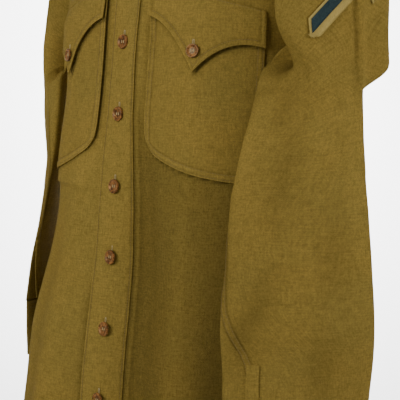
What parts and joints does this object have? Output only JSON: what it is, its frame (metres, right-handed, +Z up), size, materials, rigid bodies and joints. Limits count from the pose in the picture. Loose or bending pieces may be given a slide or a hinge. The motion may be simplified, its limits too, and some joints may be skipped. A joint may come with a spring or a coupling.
{
  "type": "military shirt",
  "caption": "Hollow long-sleeved wool military shirt in its worn shape, with a buttoned front placket, flapped chest pockets and a plain chevron patch on a sleeve.",
  "frame": {"origin": "midway between the shoulders, at the height of the neck points, where the wearer's shoulders hold the shirt", "axes": "+Z up, along the body's length; the wearer faces -Y; +X is the wearer's left"},
  "size_m": [0.5217, 0.3216, 0.8237],
  "materials": {
    "wool": "fine wool flannel, mustard olive drab, matt with a slight nap",
    "button": "polished brown horn with lighter marbling",
    "patch": "tan felt with a dark blue-green stripe"
  },
  "bodies": {
    "root": {"back": "wool", "left_front": "wool", "right_front": "wool", "front_placket": "wool", "collar_stand": "wool", "collar_leaf": "wool", "left_sleeve": "wool", "right_sleeve": "wool", "left_cuff": "wool", "right_cuff": "wool", "left_cuff_placket": "wool", "right_cuff_placket": "wool", "left_pocket": "wool", "right_pocket": "wool", "left_flap": "wool", "right_flap": "wool", "sleeve_chevron": "patch", "collar_button": "button", "front_button_1": "button", "front_button_2": "button", "front_button_3": "button", "front_button_4": "button", "front_button_5": "button", "front_button_6": "button", "front_button_7": "button", "front_button_8": "button", "left_flap_button": "button", "right_flap_button": "button", "left_cuff_button": "button", "right_cuff_button": "button"}
  },
  "joints": []
}
